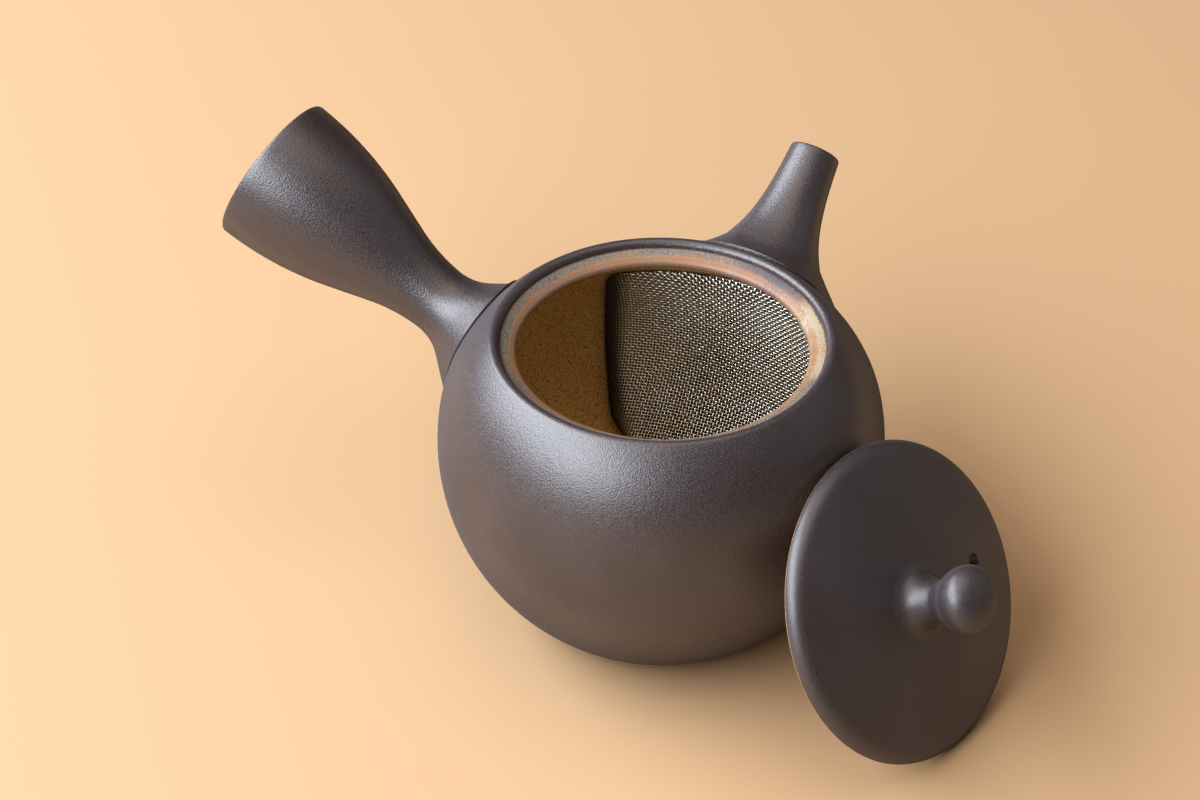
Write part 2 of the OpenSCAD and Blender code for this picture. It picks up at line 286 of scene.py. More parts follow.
def burnished_stoneware(name="burnished_charcoal_stoneware", depth=0.09 * MM, dull=0.3):
    """Unglazed stoneware, reduction fired and burnished: charcoal with a purple-brown cast, a satin
    sheen, and a fine grit of the given depth that breaks the sheen into sparkle."""
    material, tree, shader, coords = new_material(name)
    if tree is None:
        return material
    colours = bpy.context.scene.teapot_colours
    # Smoke marks of the kiln, about 25 mm across
    patches = noise(tree, coords, 25 * MM, 3.0)
    # Grit of the clay, drawn at about 0.35 mm from grain to grain so that it shows
    grit = noise(tree, coords, 0.35 * MM, 1.0)
    smoke = worked(tree, "MULTIPLY_ADD", patches, grit, 0.12)
    tone = ramp(tree, smoke, (0.2, colours.clay_dark), (0.55, colours.clay_light))
    gloss = ranged(tree, grit, 0.3, 0.7, dull, dull + 0.16)
    # Seen at a low angle the grit hides the sheen
    low = add(tree, "ShaderNodeLayerWeight", {"Blend": 0.5}).outputs["Facing"]
    gloss = worked(tree, "ADD", gloss, ranged(tree, low, 0.55, 0.9, 0.0, 0.4))
    relief = bumped(tree, grit, 1.0, depth)
    fill(tree, shader, {"Base Color": tone, "Roughness": gloss, "Normal": relief, "IOR": 1.85})
    return material


def close_burnish():
    """The same stoneware where it is burnished more closely, on the lid and its knob."""
    return burnished_stoneware("close_burnished_charcoal_stoneware", 0.03 * MM, 0.38)


def bare_clay_inside():
    """Unburnished clay of the pot's inside: olive brown, dry, speckled with rust and dark grains."""
    material, tree, shader, coords = new_material("bare_clay_inside")
    if tree is None:
        return material
    colours = bpy.context.scene.teapot_colours
    # Grains about 0.42 mm across
    grain = noise(tree, coords, 0.42 * MM, 2.0)
    specks = (0.36, colours.inside_dark), (0.5, colours.inside_light), (0.62, colours.inside_rust)
    tone = ramp(tree, grain, *specks)
    # Painted shade on the wall behind the strainer, a quarter of the pot round the spout
    parts = add(tree, "ShaderNodeSeparateXYZ", {"Vector": coords}).outputs
    quarter = worked(tree, "SUBTRACT", parts["X"], worked(tree, "ABSOLUTE", parts["Y"]))
    past = worked(tree, "SUBTRACT", parts["X"], 31 * MM)
    behind = ranged(tree, worked(tree, "MINIMUM", quarter, past), -1.5 * MM, 1.5 * MM)
    below = ranged(tree, parts["Z"], 59.6 * MM, 58.4 * MM)
    # The mask mixes painted shade into the clay's colour
    stain = worked(tree, "MULTIPLY", behind, below)
    tone = mixed(tree, stain, tone, linear(colours.inside_painted_shade))
    relief = bumped(tree, grain, 0.3, 0.15 * MM)
    fill(tree, shader, {"Base Color": tone, "Roughness": 0.75, "Normal": relief, "IOR": 1.5})
    return material


def bare_clay_ledge():
    """Bare clay of the lid ledge: toasted tan where the lid kept the smoke off, pale ash outside."""
    material, tree, shader, coords = new_material("bare_clay_ledge")
    if tree is None:
        return material
    colours = bpy.context.scene.teapot_colours
    # Grains about 0.42 mm across, clouds about 9 mm across
    grain = noise(tree, coords, 0.42 * MM, 2.0)
    cloud = noise(tree, coords, 9 * MM, 2.0)
    flat = vector(tree, "MULTIPLY", coords, (1, 1, 0))["Vector"]
    out = vector(tree, "LENGTH", flat)["Value"]
    # Ash covers the outer half of the ledge but for specks of tan, and drifts over the inner half
    band = ranged(tree, out, 34.9 * MM, 35.5 * MM, 0.0, 0.22)
    speck = worked(tree, "ADD", worked(tree, "MULTIPLY_ADD", cloud, 0.5, band), grain)
    ash = ranged(tree, speck, 0.74, 0.94)
    # White ash lies in flecks all round but by the spout, and the side away from the handle is drawn
    # whiter, partly ash and partly a painted highlight
    way = vector(tree, "NORMALIZE", flat)["Vector"]
    away = vector(tree, "DOT_PRODUCT", way, (0.53, -0.848, 0))["Value"]
    by_spout = vector(tree, "DOT_PRODUCT", way, (0.946, -0.326, 0))["Value"]
    share = ranged(tree, by_spout, 0.94, 0.98, 0.65, 0.0)
    fleck = ranged(tree, grain, 0.46, 0.6)
    white = ranged(tree, away, 0.9, 0.95)
    light = worked(tree, "MULTIPLY_ADD", fleck, share, white, use_clamp=True)
    pale = mixed(tree, light, linear(colours.ledge_ash), linear(colours.ledge_white_ash_and_highlight))
    # Turning ridges, about 0.9 mm apart, hold some grey ash
    ridge = worked(tree, "SINE", worked(tree, "MULTIPLY_ADD", out, math.tau / (0.9 * MM), cloud))
    held = ranged(tree, ridge, 0.4, 1.0, 0.0, 0.35)
    bare = mixed(tree, held, linear(colours.ledge_tan), linear(colours.ledge_ash))
    tone = mixed(tree, ash, bare, pale)
    # The smoked clay of the lip creeps over the outermost edge
    reach = worked(tree, "MULTIPLY_ADD", speck, 1.0 * MM, out)
    smoke = ranged(tree, reach, 37.9 * MM, 38.15 * MM)
    tone = mixed(tree, smoke, tone, linear(colours.clay_light))
    relief = bumped(tree, grain, 0.3, 0.12 * MM)
    fill(tree, shader, {"Base Color": tone, "Roughness": 0.4, "Normal": relief, "IOR": 1.5})
    return material


def woven_wire():
    """Drawn stainless steel wire, woven: with a painted highlight on the crowns of the weave, painted
    shade between them and the darkest painted shade towards the folded edge."""
    material, tree, shader, _ = new_material("drawn_stainless_wire")
    if tree is None:
        return material
    colours = bpy.context.scene.teapot_colours
    crown = add(tree, "ShaderNodeAttribute", {}, attribute_name="crown").outputs["Fac"]
    gloss = ranged(tree, crown, 0.0, 1.0, 0.36, 0.23)
    # Painted highlight on the crowns, painted shade between them
    tone = mixed(tree, crown, linear(colours.wire_painted_shade), linear(colours.wire))
    # Painted shade towards the folded edge and the panel's sides
    tone = mixed(tree, ranged(tree, crown, 0.0, -0.9), tone, linear(colours.wire_edge_painted_shade))
    fill(tree, shader, {"Base Color": tone, "Roughness": gloss, "Metallic": 1.0})
    return material


def table_top():
    """Plain pale table top with a soft, even finish."""
    material, tree, shader, _ = new_material("plain_pale_table")
    if tree:
        colours = bpy.context.scene.teapot_colours
        fill(tree, shader, {"Base Color": linear(colours.table), "Roughness": 0.7})
    return material


def arc(centre, radius, start, end, step=2.0):
    """Points of a curve in section from one angle up to, but not at, another, in degrees."""
    count = max(1, math.ceil(abs(end - start) / step))
    turns = [math.radians(start + (end - start) * i / count) for i in range(count)]
    return [(centre[0] + radius * math.cos(t), centre[1] + radius * math.sin(t)) for t in turns]


def activate(obj):
    """Makes one object the only selected and active one."""
    bpy.ops.object.select_all(action="DESELECT")
    obj.select_set(True)
    bpy.context.view_layer.objects.active = obj


def pick(obj, chosen):
    """Selects the chosen vertices of an object, one flag each, and stays in edit mode."""
    activate(obj)
    bpy.ops.object.mode_set(mode="EDIT")
    bpy.ops.mesh.select_mode(type="VERT")
    bpy.ops.mesh.select_all(action="DESELECT")
    bpy.ops.object.mode_set(mode="OBJECT")
    obj.data.vertices.foreach_set("select", chosen)
    bpy.ops.object.mode_set(mode="EDIT")


def turn(name, section):
    """Draws a section of (radius, height) point by point and spins it about the upright axis."""
    bpy.ops.object.select_all(action="DESELECT")
    bpy.ops.mesh.primitive_plane_add(size=MM)
    obj = bpy.context.object
    obj.name = obj.data.name = name
    bpy.ops.object.mode_set(mode="EDIT")
    bpy.ops.mesh.select_all(action="SELECT")
    bpy.ops.mesh.merge(type="CENTER")
    bpy.ops.transform.translate(value=(section[0][0], 0, section[0][1]))
    for (r0, z0), (r1, z1) in zip(section, section[1:]):
        bpy.ops.mesh.extrude_vertices_move(TRANSFORM_OT_translate={"value": (r1 - r0, 0, z1 - z0)})
    bpy.ops.mesh.select_all(action="SELECT")
    bpy.ops.mesh.spin(steps=STEPS, angle=2 * math.pi, center=(0, 0, 0), axis=(0, 0, 1))
    bpy.ops.mesh.select_all(action="SELECT")
    bpy.ops.mesh.remove_doubles(threshold=0.001 * MM)
    bpy.ops.mesh.normals_make_consistent(inside=False)
    bpy.ops.object.mode_set(mode="OBJECT")
    return obj


def draw_out(name, stations, capped=False):
    """Draws a tube out ring by ring through stations of (along, radius, tilt, sideways, width)."""
    bpy.ops.object.select_all(action="DESELECT")
    along, radius, tilt, side, wide = stations[0]
    cap = "NGON" if capped else "NOTHING"
    bpy.ops.mesh.primitive_circle_add(
        vertices=STEPS, radius=radius, location=(side, 0, along), fill_type=cap
    )
    obj = bpy.context.object
    obj.name = obj.data.name = name
    bpy.ops.object.transform_apply(location=True, rotation=True, scale=True)
    bpy.ops.object.mode_set(mode="EDIT")
    bpy.ops.mesh.select_all(action="SELECT")
    if capped:
        bpy.ops.mesh.inset(thickness=radius * 0.5)
        bpy.ops.mesh.select_all(action="SELECT")
        bpy.ops.mesh.region_to_loop()
    for along1, radius1, tilt1, side1, wide1 in stations[1:]:
        bpy.ops.mesh.extrude_edges_move(
            TRANSFORM_OT_translate={"value": (side1 - side, 0, along1 - along)}
        )
        middle = (side1, 0, along1)
        grow = radius1 / radius
        bpy.ops.transform.resize(value=(grow, grow * wide1 / wide, grow), center_override=middle)
        if tilt1 != tilt:
            bpy.ops.transform.rotate(
                value=-(tilt1 - tilt), orient_axis="Y", orient_type="GLOBAL", center_override=middle
            )
        along, radius, tilt, side, wide = along1, radius1, tilt1, side1, wide1
    bpy.ops.object.mode_set(mode="OBJECT")
    return obj


def place(obj, location, rotation, target=None, softer=(), groove=0):
    """Puts a piece that was drawn about the upright axis where it belongs.

    A tube's root is pressed on to its target along the tube: its last ring fully, the rings before
    it by the shares given, as a root is luted on. Its edge is then lifted a little on its upper
    side, turned under and drawn into the target, which leaves a fine groove there.
    """
    activate(obj)
    obj.location = location
    obj.rotation_euler = rotation
    if target:
        root = obj.vertex_groups.new(name="root")
        last = len(obj.data.vertices)
        for i, share in enumerate((1.0, *softer)):
            ring = range(last - STEPS * (i + 1), last - STEPS * i)
            root.add(list(ring), share, "REPLACE")
        press = obj.modifiers.new("luted root", "SHRINKWRAP")
        press.target = target
        press.wrap_method = "PROJECT"
        press.use_project_z = True
        press.use_negative_direction = True
        press.use_positive_direction = True
        press.vertex_group = root.name
        bpy.ops.object.modifier_apply(modifier=press.name)
        obj.vertex_groups.clear()
    bpy.ops.object.transform_apply(location=True, rotation=True, scale=True)
    if target:
        edge = obj.data.vertices[last - STEPS : last]
        middle = sum((v.co for v in edge), Vector()) / STEPS
        radius = sum((v.co - middle).length for v in edge) / STEPS
        inward = -(Vector((0, 0, 1)) @ Euler(rotation).to_matrix().transposed())
        for v in edge:
            v.co -= inward * groove * (0.25 + (v.co.z - middle.z) / radius)
        pick(obj, [i >= last - STEPS for i in range(last)])
        for sink, shrink in UNDERTURN:
            shift = inward * groove * sink
            bpy.ops.mesh.extrude_edges_move(TRANSFORM_OT_translate={"value": shift})
            middle += shift
            share = 1 - shrink * groove / radius
            bpy.ops.transform.resize(value=(share, share, share), center_override=middle)
        bpy.ops.object.mode_set(mode="OBJECT")


def drill(obj, radius, location, rotation=(0, 0, 0)):
    """Drills a round hole."""
    bpy.ops.object.select_all(action="DESELECT")
    bpy.ops.mesh.primitive_cylinder_add(
        vertices=64, radius=radius, depth=DRILL, location=location, rotation=rotation
    )
    bit = bpy.context.object
    cut = obj.modifiers.new("hole", "BOOLEAN")
    cut.operation = "DIFFERENCE"
    cut.solver = "EXACT"
    cut.object = bit
    activate(obj)
    bpy.ops.object.modifier_apply(modifier=cut.name)
    bpy.data.objects.remove(bit)


def close_ends(obj, bridge):
    """Closes a tube at its root: bridges its two open rings, or fills the only one."""
    activate(obj)
    bpy.ops.object.mode_set(mode="EDIT")
    bpy.ops.mesh.select_all(action="DESELECT")
    bpy.ops.mesh.select_non_manifold()
    if bridge:
        bpy.ops.mesh.bridge_edge_loops()
    else:
        bpy.ops.mesh.edge_face_add()
    bpy.ops.mesh.select_all(action="SELECT")
    bpy.ops.mesh.normals_make_consistent(inside=False)
    bpy.ops.object.mode_set(mode="OBJECT")


def hand_over(obj, body, node, materials, smooth=40):
    """Gives a finished piece its materials, smoothing and body, and hides the CAD node it stands for.
    """
    for material in materials:
        obj.data.materials.append(material)
    activate(obj)
    bpy.ops.object.shade_smooth_by_angle(angle=math.radians(smooth))
    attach(obj, body)
    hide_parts(node)


def paint(obj, choose):
    """Sets each face's material by the place of its middle."""
    for face in obj.data.polygons:
        face.material_index = choose(face.center, face.normal)


def pot_curves(sizes):
    """Middles and turning angles of the foot, belly, shoulder and lip curves of the pot."""
    belly = (sizes.body_r - sizes.belly_r, sizes.belly_z)
    gap = sizes.belly_r - sizes.foot_r
    foot = (belly[0] + math.sqrt(gap**2 - (sizes.belly_z - sizes.foot_r) ** 2), sizes.foot_r)
    foot_a = math.degrees(math.atan2(foot[1] - belly[1], foot[0] - belly[0]))
    step = sizes.belly_r - sizes.shoulder_r
    shoulder = (
        belly[0] + step * math.cos(sizes.shoulder_a),
        belly[1] + step * math.sin(sizes.shoulder_a),
    )
    lip_x = sizes.seat_r + sizes.lip_r
    reach = sizes.shoulder_r - sizes.lip_r
    lip = (lip_x, shoulder[1] + math.sqrt(reach**2 - (lip_x - shoulder[0]) ** 2))
    lip_a = math.degrees(math.atan2(lip[1] - shoulder[1], lip[0] - shoulder[0]))
    return belly, foot, foot_a, shoulder, lip, lip_a


class TEAPOT_OT_pot(bpy.types.Operator):
    """Throws the pot: foot, belly, shoulder, lip and ledge, and drills the pouring hole."""

    bl_idname = "teapot.pot"
    bl_label = "Throw the pot"

    def execute(self, context):
        p = context.scene.teapot_pot
        belly, foot, foot_a, shoulder, lip, lip_a = pot_curves(p)
        turn_a = math.degrees(p.shoulder_a)
        rim_z = lip[1] + p.lip_r
        seat_z = rim_z - p.seat_depth
        lip_end = 180 - math.degrees(math.asin(max(0, p.lip_r - p.seat_depth) / p.lip_r))
        seat_x = lip[0] + p.lip_r * math.cos(math.radians(lip_end))
        mouth_r = p.seat_r - p.ledge_w
        ledge_z = seat_z - p.ledge_drop
        under = ledge_z - p.ledge_tip
        inner_a = math.degrees(math.asin((under - shoulder[1]) / (p.shoulder_r - p.wall)))

        def wall_curve(inset, top):
            return (
                arc(foot, p.foot_r - inset, -90, foot_a)
                + arc(belly, p.belly_r - inset, foot_a, turn_a)
                + arc(shoulder, p.shoulder_r - inset, turn_a, top)
            )

        inside = wall_curve(p.wall, inner_a)
        inside.append(
            (shoulder[0] + (p.shoulder_r - p.wall) * math.cos(math.radians(inner_a)), under)
        )
        # The ledge: a flat seat, a soft crease, then a slope down to the rounded mouth edge
        crease = p.seat_r - p.ledge_w * 0.52
        section = (
            [(0, 0), (foot[0] * 0.5, 0)]
            + wall_curve(0, lip_a)
            + arc(lip, p.lip_r, lip_a, 90, 6)
            + arc(lip, p.lip_r, 90, lip_end, 6)
            + [
                (seat_x, seat_z),
                (seat_x - 0.35 * MM, seat_z - 0.12 * MM),
                (crease + 0.3 * MM, seat_z - 0.38 * MM),
                (crease, seat_z - 0.62 * MM),
                (crease - 0.3 * MM, seat_z - 0.72 * MM),
            ]
            + arc((mouth_r + p.ledge_tip, ledge_z), p.ledge_tip, 120, 270, 8)
            + [(mouth_r + p.ledge_tip, under)]
            + inside[::-1]
            + [(foot[0] * 0.5, p.wall), (0, p.wall)]
        )
        pot = turn("thrown_pot", section)
        s = context.scene.teapot_spout
        middle = s.wall_s * Vector((math.cos(s.rise), 0, math.sin(s.rise))) + Vector((0, 0, s.axis_z))
        # The pouring hole lies low in the spout's root, where the strainer covers it
        middle += s.hole_drop * Vector((math.sin(s.rise), 0, -math.cos(s.rise)))
        drill(pot, s.hole_r, middle, (0, math.pi / 2 - s.rise, 0))
        clays = [burnished_stoneware(), bare_clay_ledge(), bare_clay_inside()]
        hand_over(pot, "pot", "pot_body", clays)

        def region(middle, normal):
            r, z = math.hypot(middle.x, middle.y), middle.z
            if z > under - 0.2 * MM and r < seat_x + 0.02 * MM:
                return 1 if z > ledge_z - 0.9 * p.ledge_tip else 2
            outward = normal.x * middle.x + normal.y * middle.y
            bowl = math.hypot(r - belly[0], z - belly[1]) < p.belly_r - 0.5 * p.wall
            return 2 if bowl and (outward < 0 or normal.z > 0.5) and p.wall * 0.5 < z < under else 0

        paint(pot, region)
        return {"FINISHED"}


def rounded_end(along, radius, wall, edge):
    """Stations round the end of a tube, from its inside to its outside."""
    inner = arc((along - edge, radius - wall + edge), edge, -90, 0, 30)[1:]
    outer = arc((along - edge, radius - edge), edge, 0, 90, 30)
    corner = (along, radius - wall + edge)
    return [(at, r, 0, 0, 1) for at, r in (*inner, corner, *outer)]


class TEAPOT_OT_spout(bpy.types.Operator):
    """Draws out the spout and lutes its flared root to the shoulder."""

    bl_idname = "teapot.spout"
    bl_label = "Draw out the spout"

    def execute(self, context):
        s = context.scene.teapot_spout
        # Outside of the spout below the tip, as distance from the tip and radius, in millimetres
        shaft = [(0, 6.2), (4.3, 6.5), (7.6, 6.82), (10.9, 7.2), (14.2, 7.72), (17.5, 8.39)]
        shaft += [(20.9, 9.33), (24.2, 10.7), (27.4, 12.4)]
        d, r = np.array(shaft).T
        root_d, root_r = shaft[-1]
        fine = np.linspace(s.tip_round / MM, root_d, 24)
        outer = np.interp(fine, d, r)
        for _ in range(3):
            outer[1:-1] = (outer[:-2] + 2 * outer[1:-1] + outer[2:]) / 4
        bore = s.wall / MM
        # The bore starts in the pot's wall
        rings = [(s.wall_s - 1.0 * MM, 11.2 * MM, 0, 0, 1)]
        for a in (26.0, 20.0, 14.0, 8.0, 3.0, 1.2):
            rings.append((s.tip_s - a * MM, (np.interp(a, fine, outer) - bore) * MM, 0, 0, 1))
        rings += rounded_end(s.tip_s, s.tip_r, s.wall, s.tip_round)
        rings += [(s.tip_s - a * MM, b * MM, 0, 0, 1) for a, b in zip(fine, outer)]
        # The root flares out wider than it is high and leans with the shoulder
        for i in range(1, 13):
            t = i / 12
            at = root_d + 13.2 * t
            half = root_r + 7.95 * t**1.15
            width = np.interp(t, (0, 0.25, 0.5, 0.77, 1), (root_r, 15.6, 18.9, 22.0, 24.4))
            tilt = math.radians(23.2) * t**1.2
            rings.append((s.tip_s - at * MM, half * MM, tilt, 1.3 * MM * t**1.4, width / half))
        spout = draw_out("drawn_spout", rings)
        pot = bpy.data.objects["thrown_pot"]
        place(spout, (0, 0, s.axis_z), (0, math.pi / 2 - s.rise, 0), pot, (0.6, 0.2), s.groove)
        close_ends(spout, True)
        hand_over(spout, "pot", "spout", [burnished_stoneware()])
        return {"FINISHED"}


class TEAPOT_OT_handle(bpy.types.Operator):
    """Draws out the hollow side handle and lutes its root to the pot."""

    bl_idname = "teapot.handle"
    bl_label = "Draw out the handle"

    def execute(self, context):
        h = context.scene.teapot_handle
        cone_s = h.waist_s + h.waist_curve * math.sin(h.taper)
        cone_r = h.waist_r + h.waist_curve * (1 - math.cos(h.taper))
        cone_end = cone_s + h.cone
        cone_end_r = cone_r + h.cone * math.tan(h.taper)
        end_curve = (h.end_s - cone_end) / math.sin(h.taper)
        end_r = cone_end_r + end_curve * (1 - math.cos(h.taper))

        def outside(at):
            if at < cone_s:
                return h.waist_r + h.waist_curve - math.sqrt(h.waist_curve**2 - (at - h.waist_s) ** 2)
            if at < cone_end:
                return cone_r + (at - cone_s) * math.tan(h.taper)
            return end_r - end_curve + math.sqrt(end_curve**2 - (h.end_s - at) ** 2)

        round_r = h.end_round
        first = h.waist_s + 3 * MM
        rings = [(first, outside(first) - h.wall - 1 * MM, 0, 0, 1)]
        for i in range(1, 19):
            at = first + (h.end_s - round_r - first) * i / 18
            rings.append((at, outside(at) - h.wall, 0, 0, 1))
        rings += rounded_end(h.end_s, end_r, h.wall, round_r)
        for i in range(37):
            at = h.end_s - round_r + (h.waist_s - h.end_s + round_r) * i / 36
            rings.append((at, outside(at), 0, 0, 1))
        # The root turns out in a hollow curve, then runs straight to the pot, lower on the under side
        turn_s = h.waist_s - h.root_curve * math.sin(h.root_turn)
        turn_r = h.waist_r + h.root_curve * (1 - math.cos(h.root_turn))
        root = [rings[-1]]
        for i in range(1, 9):
            t = h.root_turn * i / 8
            at = h.waist_s - h.root_curve * math.sin(t)
            root.append((at, h.waist_r + h.root_curve * (1 - math.cos(t)), 0, 0, 1))
        for i in range(1, 9):
            t = i / 8
            at, r = turn_s + (h.root_s - turn_s) * t, turn_r + (h.root_r - turn_r) * t
            root.append((at, r, math.radians(8.5) * t, 2.0 * MM * t, 1 - 0.045 * t))
        root = np.array(root)
        for _ in range(6):
            root[1:-1] = (root[:-2] + 2 * root[1:-1] + root[2:]) / 4
        rings += [tuple(station) for station in root[1:]]
        handle = draw_out("side_handle", rings, capped=True)
        pot = bpy.data.objects["thrown_pot"]
        way = (0, math.pi / 2 - h.rise, math.pi / 2)
        place(handle, (0, 0, h.axis_z), way, pot, groove=h.groove)
        close_ends(handle, False)
        hand_over(handle, "pot", "handle", [burnished_stoneware()])
        return {"FINISHED"}


class TEAPOT_OT_strainer(bpy.types.Operator):
    """Weaves the strainer flat, trims it to its outline and domes it against the wall."""

    bl_idname = "teapot.strainer"
    bl_label = "Weave the strainer"

    def weave(self, name, p, warp):
        """One set of wires, woven flat along X with the other set's place left free."""
        # The weft is crimped more, so its crowns stand out
        lift = 0.75 * p.wire_r if warp else -1.25 * p.wire_r
        bpy.ops.object.select_all(action="DESELECT")
        bpy.ops.mesh.primitive_cylinder_add(
            vertices=6,
            radius=p.wire_r,
            depth=2 * p.pitch,
            end_fill_type="NOTHING",
            location=(p.pitch, 0, 0),
            rotation=(0, math.pi / 2, 0),
        )
        wire = bpy.context.object
        wire.name = wire.data.name = name
        bpy.ops.object.transform_apply(location=True, rotation=True, scale=True)
        bpy.ops.object.mode_set(mode="EDIT")
        for share in (0.5, 1.0, 1.5):
            bpy.ops.mesh.select_all(action="SELECT")
            bpy.ops.mesh.bisect(plane_co=(share * p.pitch, 0, 0), plane_no=(1, 0, 0))
        bpy.ops.object.mode_set(mode="OBJECT")
        for share, way in ((0.5, 1), (1.5, -1)):
            pick(wire, [abs(v.co.x - share * p.pitch) < 0.1 * p.pitch for v in wire.data.vertices])
            bpy.ops.transform.translate(value=(0, 0, way * lift))
            bpy.ops.object.mode_set(mode="OBJECT")
        # The next wire passes over where this one passes under
        bpy.ops.object.mode_set(mode="EDIT")
        bpy.ops.mesh.select_all(action="SELECT")
        bpy.ops.mesh.duplicate_move(TRANSFORM_OT_translate={"value": (0, p.pitch, 0)})
        bpy.ops.transform.resize(value=(1, 1, -1), center_override=(0, 0, 0))
        bpy.ops.mesh.flip_normals()
        bpy.ops.object.mode_set(mode="OBJECT")
        count = 2 * math.ceil(p.dome_r * 1.1 / (2 * p.pitch))
        for step in ((2 * p.pitch, 0, 0), (0, 2 * p.pitch, 0)):
            repeat = wire.modifiers.new("repeat", "ARRAY")
            repeat.use_relative_offset = False
            repeat.use_constant_offset = True
            repeat.constant_offset_displace = step
            repeat.count = count
            repeat.use_merge_vertices = step[0] > 0
            repeat.merge_threshold = 0.02 * MM
            activate(wire)
            bpy.ops.object.modifier_apply(modifier=repeat.name)
        return wire, count

    def dome(self, p, u, v, w):
        """Where points of the flat sheet lie on the dome.

        Beside the places it gives each point's way past the outline, the same for trimming, and a
        share that is 0 at the panel's sides and 1 from 3 mm inside them.
        """
        middle_z = bpy.context.scene.teapot_pot.belly_z
        y = p.dome_r * np.sin(u / p.dome_r)
        # The rows of the weave curve up towards the sides
        upward = 4.0
        z = p.dome_r * np.sin(v / p.dome_r) + upward * y**2
        # Inside the outline the sheet follows the dome, past it the edge folds back to the wall
        low = p.middle_z - middle_z
        from_middle = np.hypot(y, z - low)
        shrink = np.minimum(1.0, (p.edge_r - p.fold_r) / np.maximum(from_middle, 1e-9))
        z1 = low + (z - low) * shrink
        side_y = np.sqrt(p.dome_r**2 - z1**2) * math.sin(p.side_a)
        y1 = np.clip(y * shrink, -side_y, side_y)
        x1 = np.sqrt(np.maximum(p.dome_r**2 - y1**2 - z1**2, 0))
        out = np.stack([x1, y1, z1], 1) / p.dome_r
        side = np.stack([np.zeros_like(y), y - y1, z - z1], 1)
        side -= (side * out).sum(1)[:, None] * out
        size = np.linalg.norm(side, axis=1)
        side /= np.maximum(size, 1e-9)[:, None]
        # The sheet stretches where it folds
        stretch = 1.4
        run = np.hypot(y - y1, z - z1) * stretch
        fold = np.minimum(run / p.fold_r, math.pi / 2)
        straight = np.maximum(run - p.fold_r * math.pi / 2, 0)
        normal = out * np.cos(fold)[:, None] - side * np.sin(fold)[:, None]
        along = side * (p.fold_r * np.sin(fold))[:, None]
        back = out * (p.fold_r * (1 - np.cos(fold)) + straight)[:, None]
        spot = np.array([0, 0, middle_z]) + out * p.dome_r + along + back + normal * w[:, None]
        # Towards its top the sheet bends out until it lies against the wall
        bent = np.clip((spot[:, 2] - p.top_z) / p.top_bend + 1, 0, 1.2) ** 2
        flat = spot[:, :2] / np.linalg.norm(spot[:, :2], axis=1)[:, None]
        spot[:, :2] += flat * (p.top_gap * bent)[:, None]
        inside = np.clip((side_y - np.abs(y1)) / (3 * MM), 0, 1)
        return spot, run, np.where(spot[:, 2] > p.top_z, p.skirt, run), inside

    def execute(self, context):
        p = context.scene.teapot_strainer
        for name, warp in (("strainer_warp", True), ("strainer_weft", False)):
            wire, count = self.weave(name, p, warp)
            co = np.zeros(len(wire.data.vertices) * 3)
            wire.data.vertices.foreach_get("co", co)
            co = co.reshape(-1, 3)
            along = co[:, 0] - count * p.pitch
            across = co[:, 1] - (count - 0.5) * p.pitch
            u, v = (across, along) if warp else (along, across)
            spot, run, past, inside = self.dome(p, u, v, co[:, 2])
            wire.data.vertices.foreach_set("co", spot.ravel())
            wire.data.update()
            # How far a point is a crown of the weave, for its gloss and a painted highlight, below 0
            # for painted shade by the folded sides
            crown = np.clip(-1.6 * co[:, 2] / p.wire_r - 0.4, 0, 1)
            crown *= np.clip(1.2 - run / p.fold_r, 0, 1) * (0.4 + 0.6 * inside)
            crown -= 0.55 * (1 - inside) ** 2
            wire.data.attributes.new("crown", "FLOAT", "POINT").data.foreach_set("value", crown)
            pick(wire, past >= p.skirt)
            bpy.ops.mesh.delete(type="VERT")
            bpy.ops.mesh.select_all(action="SELECT")
            bpy.ops.mesh.fill_holes(sides=6)
            bpy.ops.mesh.select_all(action="SELECT")
            bpy.ops.mesh.normals_make_consistent(inside=False)
            bpy.ops.object.mode_set(mode="OBJECT")
            hand_over(wire, "pot", "strainer", [woven_wire()], smooth=80)
        return {"FINISHED"}


def lean(obj):
    """Leans a piece of the lid, drawn about the upright axis, against the pot."""
    p = bpy.context.scene.teapot_lid
    spot = (p.lean_out * math.cos(p.lean_az), p.lean_out * math.sin(p.lean_az), p.lean_z)
    place(obj, spot, (0, math.pi / 2 - p.lean_el, p.lean_az))


def bend(a, b, c, d, count):
    """Points from a towards d along the curve whose handles are b and c."""
    a, b, c, d = (np.array(point) for point in (a, b, c, d))
    ways = np.linspace(0, 1, count, endpoint=False)[:, None]
    back = 1 - ways
    points = back**3 * a + 3 * ways * back**2 * b + 3 * ways**2 * back * c + ways**3 * d
    return [tuple(point) for point in points]


def dome_of(p):
    """The lid's upper side: its height at any radius up to its rim, and points round the rim."""
    # Slope of the dome where the rounding of the rim takes over, and the turn at which it does
    slope = 2 * p.rise / (p.edge_r - 0.8 * p.rim_w)
    start = math.atan2(p.rim_h, p.rim_w * slope)
    low = p.under_r - p.edge_t / 2
    end = p.edge_r - p.rim_w * (1 - math.cos(start))
    top = low + p.rim_h * math.sin(start) + p.rise
    turns = [start * (1 - i / 14) for i in range(14)]
    rim = [(p.edge_r - p.rim_w * (1 - math.cos(t)), low + p.rim_h * math.sin(t)) for t in turns]
    return lambda r: top - p.rise * (r / end) ** 2, rim


